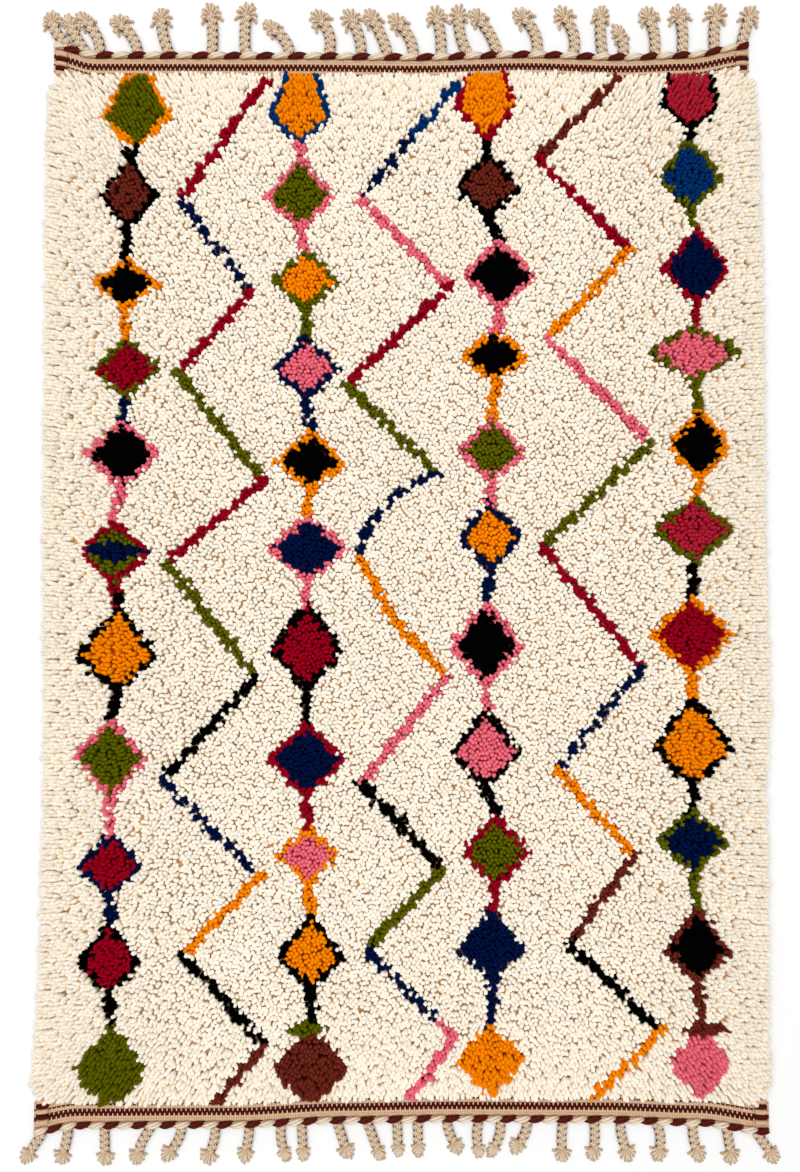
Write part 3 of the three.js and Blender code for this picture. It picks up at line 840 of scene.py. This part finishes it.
def add_yarn(bundle, points, radii, depth=1.0, upright=(0.0, 0.0, 1.0)):
    """Adds one round thread through points to a bundle, with its radius and its tone of painted light and
    shade at each.
    """
    way = np.gradient(points, axis=0)
    way /= np.linalg.norm(way, axis=1, keepdims=True)
    side = np.cross(way, upright)
    side /= np.linalg.norm(side, axis=1, keepdims=True)
    rise = np.cross(side, way)
    radii = np.broadcast_to(radii, len(points))
    turn = 2 * math.pi * np.arange(YARN_SIDES) / YARN_SIDES
    spokes = np.cos(turn)[:, None] * side[:, None] + np.sin(turn)[:, None] * rise[:, None]
    rings = (points[:, None] + radii[:, None, None] * spokes).reshape(-1, 3)
    caps = [points[0] - YARN_CAP * radii[0] * way[0], points[-1] + YARN_CAP * radii[-1] * way[-1]]
    painted_lights = np.broadcast_to(depth, len(points))
    bundle.append((np.vstack([rings, caps]), np.append(np.repeat(painted_lights, YARN_SIDES), painted_lights[[0, -1]])))


def yarn_faces(count):
    """Faces of one thread of points, from its first ring of corners to the last, and its two caps."""
    ring = np.arange(YARN_SIDES)
    after = (ring + 1) % YARN_SIDES
    last = (count - 1) * YARN_SIDES
    faces = []
    for start in range(0, last, YARN_SIDES):
        faces += zip(ring + start, ring + start + YARN_SIDES, after + start + YARN_SIDES, after + start)
    faces += zip(np.full_like(ring, last + YARN_SIDES), ring, after)
    faces += zip(np.full_like(ring, last + YARN_SIDES + 1), after + last, ring + last)
    return faces


def yarn_piece(name, bundle, material, replaced=None):
    """The bundle's threads as one mesh piece."""
    faces = []
    start = 0
    for points, _ in bundle:
        rings = (len(points) - 2) // YARN_SIDES
        faces += [[corner + start for corner in face] for face in yarn_faces(rings)]
        start += len(points)
    mesh = bpy.data.meshes.new(name)
    mesh.from_pydata(np.vstack([points for points, _ in bundle]), [], faces)
    mesh.polygons.foreach_set("use_smooth", np.ones(len(faces), dtype=bool))
    set_point_values(mesh, "depth", np.concatenate([painted_lights for _, painted_lights in bundle]))
    return add_piece(name, mesh, [material], replaced)


def twined_cord(end, line, pitch, sand, brown):
    """Two soft strands twined along the end line, sand and brown. Each is full where it lies on top and
    drawn in where it goes under, so that it shows as a row of almonds."""
    steps = round(CORD_LENGTH / pitch * CORD_STEPS)
    x = np.linspace(-CORD_LENGTH / 2, CORD_LENGTH / 2, steps + 1)
    turn = 2 * math.pi * x / pitch
    middle_y = eased(line, x)
    strands = (("sand", sand, 0.0, f"fringe_{end}"), ("brown", brown, math.pi, None))
    pieces = []
    for name, wool, phase, replaced in strands:
        bundle = []
        over = np.sin(turn + phase)
        full = CORD_DRAWN_IN + (1 - CORD_DRAWN_IN) * (0.5 + 0.5 * over)
        strand = np.array([CORD_SIDE_OFF * np.cos(turn + phase), CORD_RISE_OFF * over])
        for yarn in range(CORD_YARNS):
            split = 2 * math.pi * yarn / CORD_YARNS + CORD_TWIST * turn
            off = strand + CORD_YARN_OFF * full * np.array([np.cos(split), CORD_FLATNESS * np.sin(split)])
            radius = CORD_YARN_RADIUS * (CORD_YARN_LEAST + (1 - CORD_YARN_LEAST) * full)
            z = np.maximum(CORD_HEIGHT / 2 + off[1], radius)
            # Painted shade on the lower yarns and painted light on the upper ones.
            depth = np.clip(CORD_TONE + off[1] / CORD_TONE_HEIGHT, 0, 1)
            add_yarn(bundle, np.column_stack([x, middle_y - off[0], z]), radius, depth)
        pieces.append(yarn_piece(f"twined_{name}_{end}", bundle, wool, replaced))
    return pieces


def braid_path(row, line, outward, count):
    """Points along a braid's middle in the plane, from inside the cord to its neck, and its way there."""
    root, lean, reach, bow, _ = (size * MM for size in row)
    foot = eased(line, np.array([root]))[0] + outward * BRAID_ROOT_OUT
    tip = eased(line, np.array([root]))[0] + outward * reach
    neck_share = 1 - HEAD_LENGTH / math.hypot(lean, reach)
    neck = np.array([root + lean * neck_share, foot + (tip - foot) * neck_share])
    start = np.array([root, foot])
    middle = (start + neck) / 2 + np.array([2 * bow, 0])
    t = np.linspace(0, 1, count)[:, None]
    path = (1 - t) ** 2 * start + 2 * t * (1 - t) * middle + t ** 2 * neck
    way = 2 * (1 - t) * (middle - start) + 2 * t * (neck - middle)
    return path, way / np.linalg.norm(way, axis=1, keepdims=True)


def add_plait(bundle, row, line, outward, width):
    """Three flat strands of three yarns plaited along a braid's path, drawn in at the neck."""
    yarn = width / BRAID_YARNS_ACROSS
    swing = width / 2 - 3 * yarn
    cycle = PLAIT_CYCLE * width
    rough, _ = braid_path(row, line, outward, BRAID_PATH_POINTS)
    length = np.linalg.norm(np.diff(rough, axis=0), axis=1).sum()
    count = max(PLAIT_LEAST_POINTS, round(length / cycle * PLAIT_STEPS))
    path, way = braid_path(row, line, outward, count)
    right = np.column_stack([way[:, 1], -way[:, 0]])
    share = np.linspace(0, 1, count)
    full = PLAIT_LEAST + PLAIT_SWELL * np.minimum(share, 1 + PLAIT_NECK - share)
    full = np.clip(full, PLAIT_LEAST, 1)
    turn = 2 * math.pi * share * length / cycle + rng.uniform(0, PLAIT_LATEST_START)
    for strand in range(3):
        phase = turn + 2 * math.pi * strand / 3
        slope = 2 * math.pi * swing / cycle * np.cos(phase)
        slant = np.sqrt(1 + slope * slope)
        over = np.sin(2 * phase)
        z = PLAIT_HEIGHT * yarn + full * PLAIT_RISE * yarn * over
        for beside in (-2 * yarn, 0.0, 2 * yarn):
            across = full * (swing * np.sin(phase) + beside / slant)
            ahead = -beside * slope / slant
            place = path + right * across[:, None] + way * ahead[:, None]
            # Painted shade where the strand goes under and on its outer yarns, painted highlight where it
            # lies on top.
            depth = PLAIT_TONE + PLAIT_TONE_RISE * over - PLAIT_TONE_EDGE * abs(beside) / yarn
            thread = np.column_stack([place, z - STRAND_ROUNDING * abs(beside)])
            add_yarn(bundle, thread, yarn, np.clip(depth, 0, 1))


def add_head(bundle, row, line, outward, width, spray):
    """The loose ends: yarns in two layers that spray out round the plait's end. Towards its tip each yarn
    turns further out and thicker, from painted shade at the neck to painted light at the tip, and the upper
    ones stand a little higher, with less painted shade."""
    path, way = braid_path(row, line, outward, BRAID_PATH_POINTS)
    out = way[-1]
    neck = path[-1] - HEAD_TUCK * out
    right = np.array([out[1], -out[0]])
    yarn = width / BRAID_YARNS_ACROSS
    half_head = HEAD_HALF_SHARE * row[4] * MM
    t = np.linspace(HEAD_FIRST_STEP, 1, HEAD_STEPS)
    opened = HEAD_TURN_LEAST + (1 - HEAD_TURN_LEAST) * t
    radii = yarn * np.linspace(*HEAD_YARN_SWELL, HEAD_STEPS)
    for i, side in enumerate(np.linspace(-1, 1, HEAD_YARNS)):
        above = i % 2
        turn = spray * (side + rng.uniform(-HEAD_STRAY, HEAD_STRAY)) * opened
        reach = t * rng.uniform(*HEAD_REACH) * (HEAD_UPPER_REACH if above else 1.0)
        ahead = (HEAD_LENGTH + HEAD_TUCK) * reach * np.cos(turn)
        across = half_head * reach * np.sin(turn)
        z = HEAD_HEIGHT * yarn + above * yarn * (HEAD_UPPER_LIFT + HEAD_UPPER_RISE * t)
        place = neck + np.outer(ahead, out) + np.outer(across, right)
        # Painted shade at the neck and in the lower layer, painted light towards the tip.
        depth = np.clip(HEAD_TONE + HEAD_UPPER_TONE * above + HEAD_TONE_RISE * t, 0, 1)
        add_yarn(bundle, np.column_stack([place, z]), radii, depth)


def fringe(end, braids, line, outward, width, spray, wool):
    """The plaits and their loose ends along one end."""
    bundle = []
    for row in braids:
        add_plait(bundle, row, line, outward, width)
        add_head(bundle, row, line, outward, width, spray)
    return yarn_piece(f"plaited_fringe_{end}", bundle, wool)


def selvedge_wraps(end, line, outward, sand, brown):
    """Wefts wrapped round the outermost warps at both corners of an end."""
    half_width = WRAP_WIDTH / 2
    turn = np.linspace(*WRAP_HALF_TURNS, WRAP_STEPS) * math.pi
    pieces = []
    for letter, name, wool in (("s", "sand", sand), ("b", "brown", brown)):
        bundle = []
        for side in (-1, 1):
            for i, wrap in enumerate(CORNER_WRAPS):
                if wrap != letter:
                    continue
                x = side * (CORD_LENGTH / 2 - half_width + (half_width - WRAP_RADIUS) * np.sin(turn))
                z = WRAP_RADIUS + WRAP_RISE * (1 + np.cos(turn))
                inwards = CORD_WIDTH / 2 + (i + WRAP_START) * WRAP_PITCH
                y = eased(line, x) - outward * inwards
                add_yarn(bundle, np.column_stack([x, y, z]), WRAP_RADIUS, WRAP_TONE, (0.0, 1.0, 0.0))
        pieces.append(yarn_piece(f"selvedge_{name}_{end}", bundle, wool))
    return pieces


def camera_and_light():
    """The photo's view from above, the soft box, the white room and the paper floor."""
    scene = bpy.context.scene
    camera = bpy.data.cameras.new("overhead_camera")
    camera.sensor_fit = "VERTICAL"
    camera.sensor_height = 36.0
    camera.lens = camera.sensor_height * FOCAL_LENGTH_PX / PHOTO_HEIGHT_PX
    holder = bpy.data.objects.new("overhead_camera", camera)
    holder.location = CAMERA_PLACE
    holder.rotation_euler = (CAMERA_TILT, 0, 0)
    scene.collection.objects.link(holder)
    scene.camera = holder

    soft = bpy.data.lights.new("soft_box", "AREA")
    soft.shape = "RECTANGLE"
    soft.size, soft.size_y = SOFT_BOX_SIZE
    soft.energy = SOFT_BOX_WATTS
    overhead = bpy.data.objects.new("soft_box", soft)
    overhead.location = SOFT_BOX_PLACE
    overhead.rotation_euler = (-SOFT_BOX_PLACE).to_track_quat("-Z", "Y").to_euler()
    scene.collection.objects.link(overhead)

    world = bpy.data.worlds.new("white_room")
    world.use_nodes = True
    walls = world.node_tree.nodes["Background"]
    walls.inputs["Color"].default_value = linear("FFFFFF")
    walls.inputs["Strength"].default_value = ROOM_LIGHT
    scene.world = world
    scene.view_settings.view_transform = "Standard"

    shape = bmesh.new()
    bmesh.ops.create_grid(shape, x_segments=8, y_segments=8, size=FLOOR_HALF_SIZE)
    floor = bpy.data.objects.new("floor", mesh_of(shape, "floor"))
    floor.data.materials.append(floor_paper())
    scene.collection.objects.link(floor)


def build_rug():
    """The ground with its pile, then each end with its band, wraps, cord and fringe."""
    # Each wool as (painted groove shade, its own colour, painted highlight, fibre size in mm).
    sand_weave = plied_wool("weft_faced_wool_sand", "8A5C38", "C49A78", "DEBA98", 1.6)
    brown_weave = plied_wool("weft_faced_wool_brown", "200300", "430A03", "4F1107", 1.6)
    sand_yarn = plied_wool("plied_wool_sand", "704628", "C09E7A", "E8D8C0", 1.4)
    brown_yarn = plied_wool("plied_wool_brown", "260400", "4A0F06", "5A190D", 1.4)
    ground = packed_pile()
    pile = pile_pieces()
    # Each end as (name, cord's line, way out, braids, their width, spray of the loose ends, cord's pitch)
    ends = (
        ("far", FAR_LINE, 1, FAR_BRAIDS, 17.5 * MM, math.radians(98), 46 * MM),
        ("near", NEAR_LINE, -1, NEAR_BRAIDS, 14.5 * MM, math.radians(68), 38.5 * MM),
    )
    for end, line, outward, braids, braid_width, spray, cord_pitch in ends:
        band = woven_band(end, line, outward, sand_weave, brown_weave)
        trim = selvedge_wraps(end, line, outward, sand_weave, brown_weave)
        trim += twined_cord(end, line, cord_pitch, sand_yarn, brown_yarn)
        trim.append(fringe(end, braids, line, outward, braid_width, spray, sand_yarn))


camera_and_light()
build_rug()
